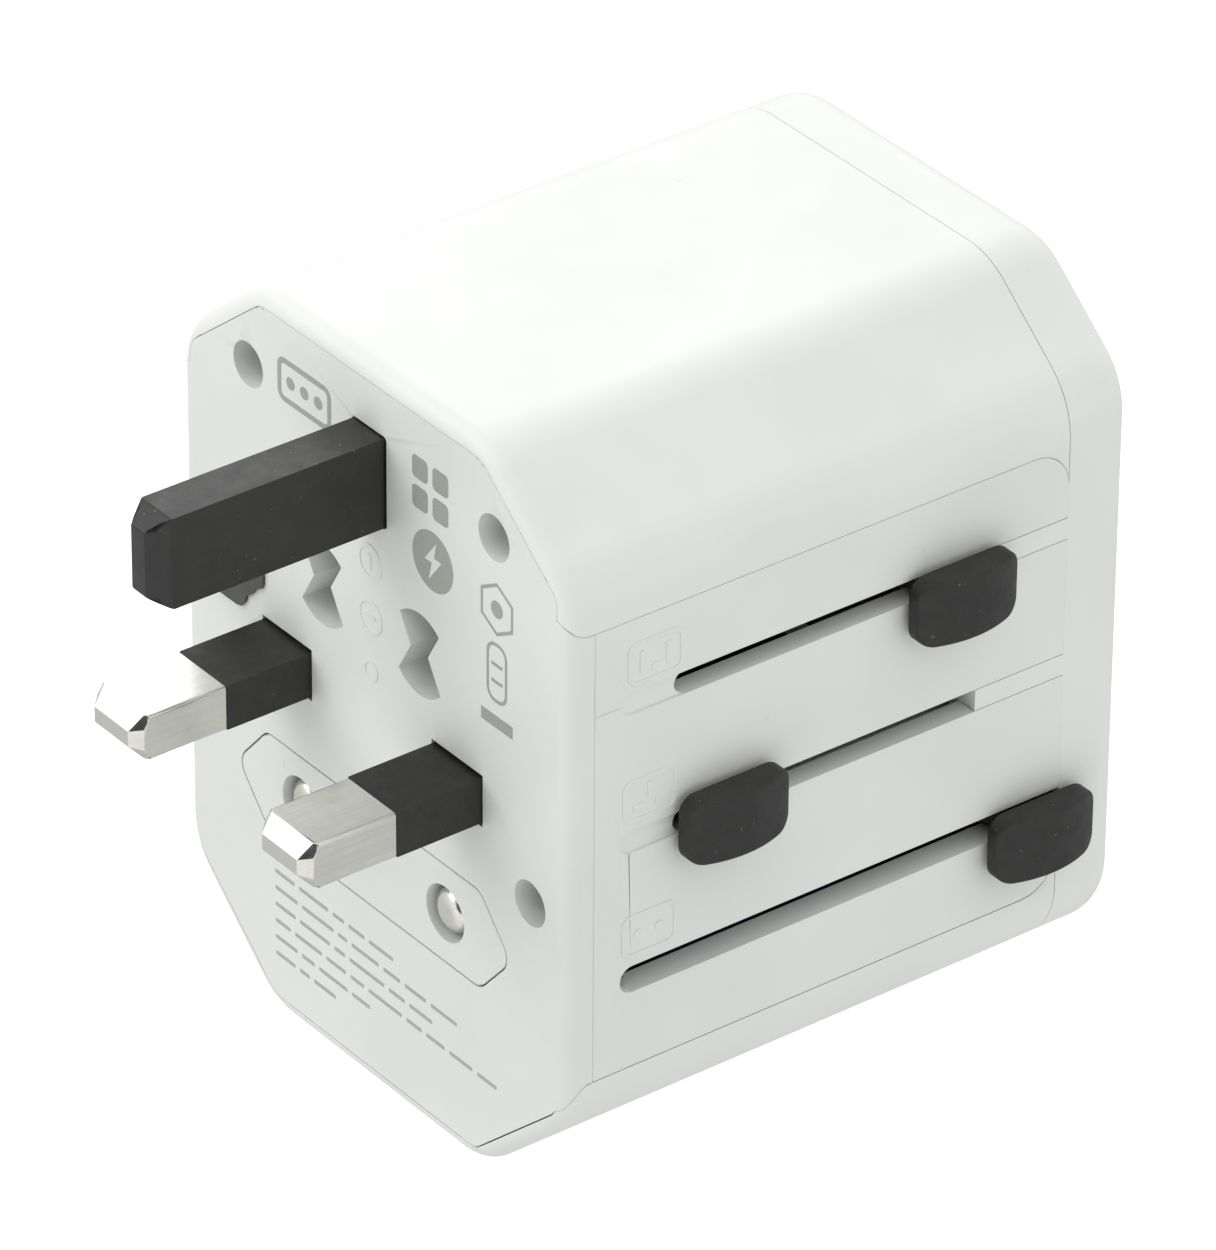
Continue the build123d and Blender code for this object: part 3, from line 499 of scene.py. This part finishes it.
# pin patterns ahead of the slots instead of region names
def slot_sign(name, y, z, shapes):
    loops = frame_loops(y - 2.6, y + 2.6, z - 1.9, z + 1.9, 0.9, 0.26)
    raised(name, loops + shapes, emb_flank)


slot_sign("sign_slot_top", -19.2, 49.55, [box_loop(-20.65, -20.2, 48.6, 50.5), box_loop(-18.2, -17.75, 48.6, 50.5), circle(-19.2, 48.75, 0.36, 20)])
slot_sign("sign_slot_middle", -19.6, 37.4, [box_loop(-21.2, -20.1, 36.45, 36.95), box_loop(-19.1, -18.0, 36.45, 36.95), box_loop(-19.85, -19.35, 37.4, 38.6)])
slot_sign("sign_slot_bottom", -19.6, 25.15, [circle(-20.6, 25.15, 0.42, 20), circle(-18.6, 25.15, 0.42, 20)])


# ------------------------------------------------------------------
# stage: pale floor that sweeps up all round, and soft light
# ------------------------------------------------------------------
def make_floor():
    me = bpy.data.meshes.new("floor")
    bm = bmesh.new()
    prof = [(0.0, 0.0), (0.1, 0.0), (0.4, 0.0), (1.2, 0.0), (2.4, 0.0)]
    for i in range(1, 13):
        a = math.radians(90 * i / 12)
        prof.append((2.4 + 1.0 * math.sin(a), 1.0 - 1.0 * math.cos(a)))
    prof.append((3.4, 1.3))
    n = 96
    rings = []
    for r, z in prof:
        if r == 0:
            rings.append([bm.verts.new((0, 0, z))])
        else:
            rings.append([bm.verts.new((r * math.cos(2 * math.pi * k / n), r * math.sin(2 * math.pi * k / n), z)) for k in range(n)])
    for a, b in zip(rings, rings[1:]):
        for k in range(n):
            k2 = (k + 1) % n
            if len(a) == 1:
                bm.faces.new((a[0], b[k], b[k2]))
            else:
                bm.faces.new((a[k], b[k], b[k2], a[k2]))
    bmesh.ops.recalc_face_normals(bm, faces=bm.faces)
    for v in bm.verts:
        v.co.z -= 0.00004
    bm.to_mesh(me)
    bm.free()
    for p in me.polygons:
        p.use_smooth = True
    ob = bpy.data.objects.new("floor", me)
    bpy.context.scene.collection.objects.link(ob)
    m = Mat("floor_paper")
    m.color(m.ramp(m.noise(9, 2.0), [(0.3, 0.55), (0.7, 0.565)]))
    m.bump(m.noise(900, 3.0), 0.05, 0.0001)
    m.set(Roughness=0.85, Emission_Color=(1, 1, 1, 1), Emission_Strength=0.72)
    m.b.inputs["Specular IOR Level"].default_value = 0.15
    me.materials.append(m.m)
    ob.visible_diffuse = False
    ob.visible_glossy = False


make_floor()


def soft_box(name, direction, distance, size, radiance):
    d = Vector(direction).normalized()
    la = bpy.data.lights.new(name, "AREA")
    la.shape = "SQUARE"
    la.size = size
    la.energy = radiance * math.pi * size * size
    la.color = (1.0, 1.0, 0.995)
    ob = bpy.data.objects.new(name, la)
    centre = Vector((0, 0, 0.033))
    ob.location = centre + d * distance
    ob.rotation_mode = "QUATERNION"
    ob.rotation_quaternion = d.to_track_quat("Z", "Y")
    bpy.context.scene.collection.objects.link(ob)
    return ob


soft_box("key_back_left", (-0.62, 0.58, 0.56), 0.95, 0.75, 1.12)
soft_box("near_front_left", (-0.44, -0.68, 0.60), 0.30, 0.22, 1.5)
soft_box("overhead", (0.12, -0.1, 1.0), 1.0, 0.8, 0.15)

# studio surround: brighter above than below, one dark flag at the front right
world = bpy.data.worlds.new("studio")
bpy.context.scene.world = world
world.use_nodes = True
wt = world.node_tree
wb = wt.nodes["Background"]
wco = wt.nodes.new("ShaderNodeTexCoord").outputs["Generated"]


def facing(direction, lo, hi, a, b):
    """Value a below cosine lo and b above cosine hi, measured from a direction."""
    d = Vector(direction).normalized()
    dot = wt.nodes.new("ShaderNodeVectorMath")
    dot.operation = "DOT_PRODUCT"
    dot.inputs[1].default_value = d
    wt.links.new(wco, dot.inputs[0])
    mr = wt.nodes.new("ShaderNodeMapRange")
    mr.inputs["From Min"].default_value = lo
    mr.inputs["From Max"].default_value = hi
    mr.inputs["To Min"].default_value = a
    mr.inputs["To Max"].default_value = b
    wt.links.new(dot.outputs["Value"], mr.inputs["Value"])
    return mr.outputs["Result"]


def times(a, b):
    n = wt.nodes.new("ShaderNodeMath")
    n.operation = "MULTIPLY"
    wt.links.new(a, n.inputs[0])
    wt.links.new(b, n.inputs[1])
    return n.outputs[0]


def plus(a, b):
    n = wt.nodes.new("ShaderNodeMath")
    n.operation = "ADD"
    wt.links.new(a, n.inputs[0])
    wt.links.new(b, n.inputs[1])
    return n.outputs[0]


level = plus(facing((0, 0, 1), -1.0, 1.0, 0.65, 0.94), facing((0.5, -0.86, 0.1), 0.0, 1.0, 0.0, 0.50))
flag = facing((0.45, -0.81, 0.36), math.cos(math.radians(32)), math.cos(math.radians(21)), 1.0, 0.05)
wb.inputs["Color"].default_value = (1.0, 1.0, 0.998, 1)
wt.links.new(times(level, flag), wb.inputs["Strength"])
